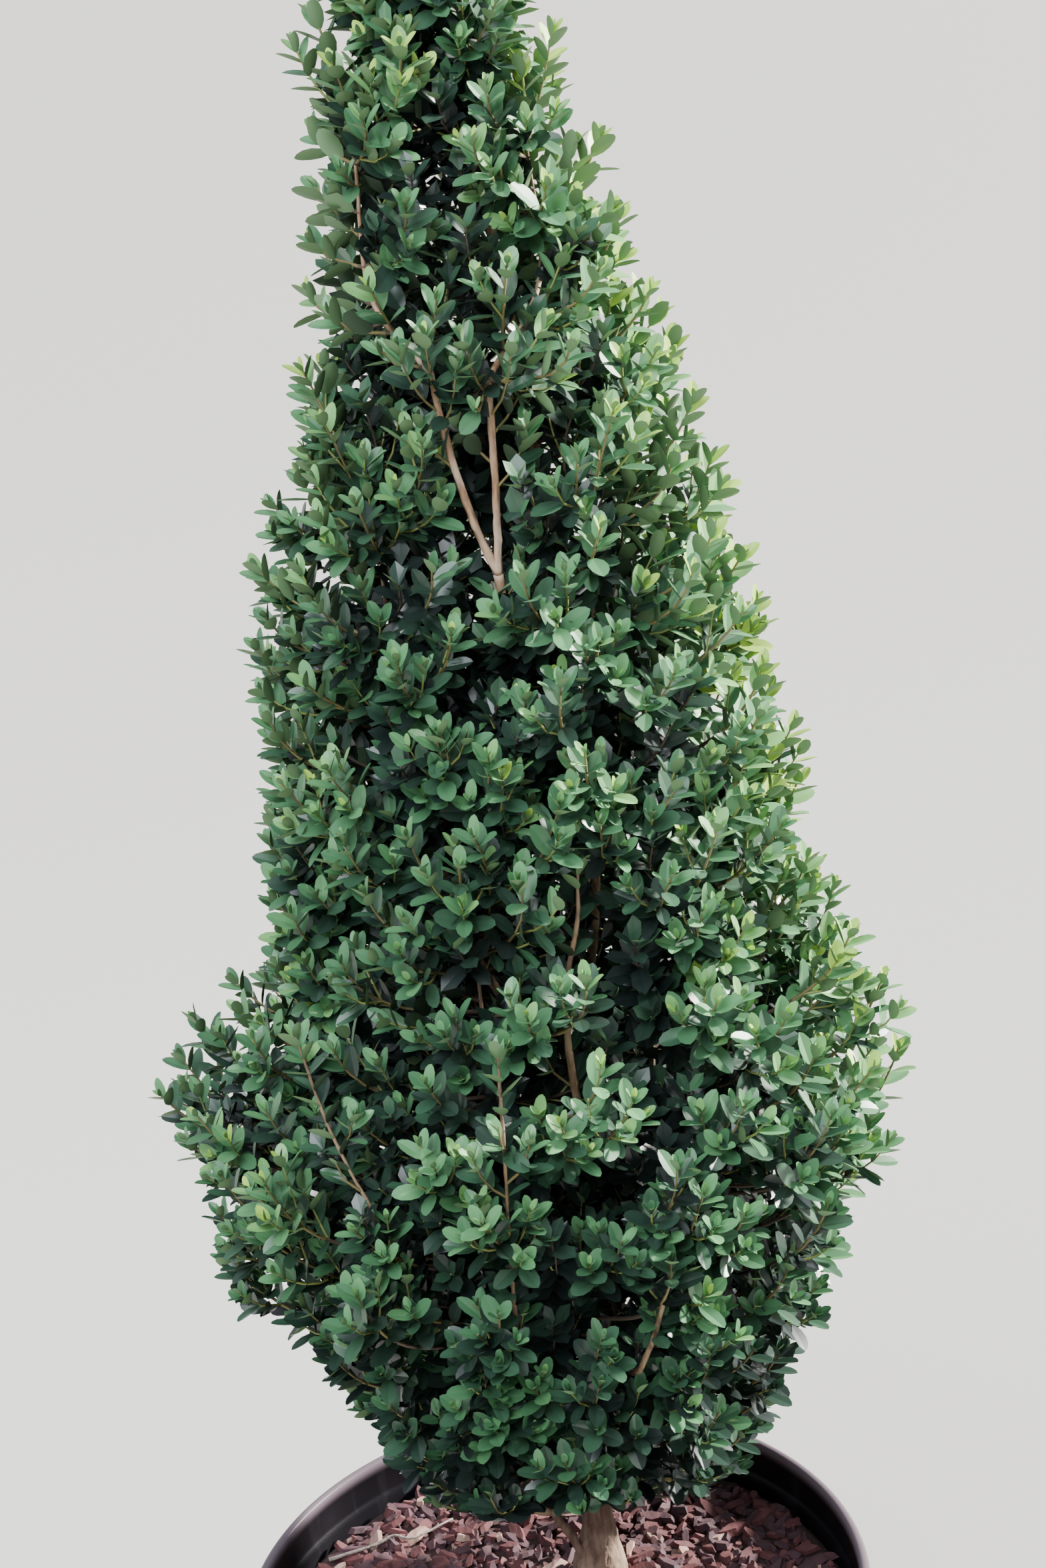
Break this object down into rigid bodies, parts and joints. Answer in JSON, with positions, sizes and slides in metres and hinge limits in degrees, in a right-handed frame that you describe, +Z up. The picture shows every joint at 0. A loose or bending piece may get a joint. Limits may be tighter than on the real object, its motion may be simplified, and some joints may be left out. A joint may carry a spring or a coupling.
{
  "type": "potted boxwood cone topiary",
  "caption": "Loosely clipped boxwood cone with small evergreen leaves on upright shoots, standing in a round black nursery pot filled with bark mulch.",
  "frame": {"origin": "centre of the flat underside of the pot", "axes": "+Z up along the pot and the trunk, -Y towards the pictured side, +X to its right"},
  "size_m": [0.4796, 0.4717, 1.4952],
  "materials": {
    "pot": "black moulded plastic with a faint purple sheen, satin and slightly scuffed",
    "bark_mulch": "red-brown bark chips over dark potting mix",
    "bark": "tan to grey-brown ridged bark, smoother and golden on young stems",
    "leaves": "small oval leaves, satin blue-green above and paler yellow-green below"
  },
  "bodies": {
    "root": {"pot": "pot", "bark_mulch": "bark_mulch", "trunk": "bark", "leader": "bark", "fork_stem": "bark", "fork_left": "bark", "fork_right": "bark", "bough_low_1": "bark", "bough_low_2": "bark", "bough_low_3": "bark", "bough_low_4": "bark", "bough_low_5": "bark", "bough_middle_1": "bark", "bough_middle_2": "bark", "bough_middle_3": "bark", "bough_middle_4": "bark", "bough_middle_5": "bark", "bough_upper_1": "bark", "bough_upper_2": "bark", "bough_upper_3": "bark", "bough_upper_4": "bark", "bough_high_3": "bark", "foliage_low_1": "leaves", "foliage_low_2": "leaves", "foliage_low_3": "leaves", "foliage_low_4": "leaves", "foliage_low_5": "leaves", "foliage_middle_1": "leaves", "foliage_middle_2": "leaves", "foliage_middle_3": "leaves", "foliage_middle_4": "leaves", "foliage_middle_5": "leaves", "foliage_upper_1": "leaves", "foliage_upper_2": "leaves", "foliage_upper_3": "leaves", "foliage_upper_4": "leaves", "foliage_high_1": "leaves", "foliage_high_2": "leaves", "foliage_high_3": "leaves", "foliage_top": "leaves"}
  },
  "joints": []
}
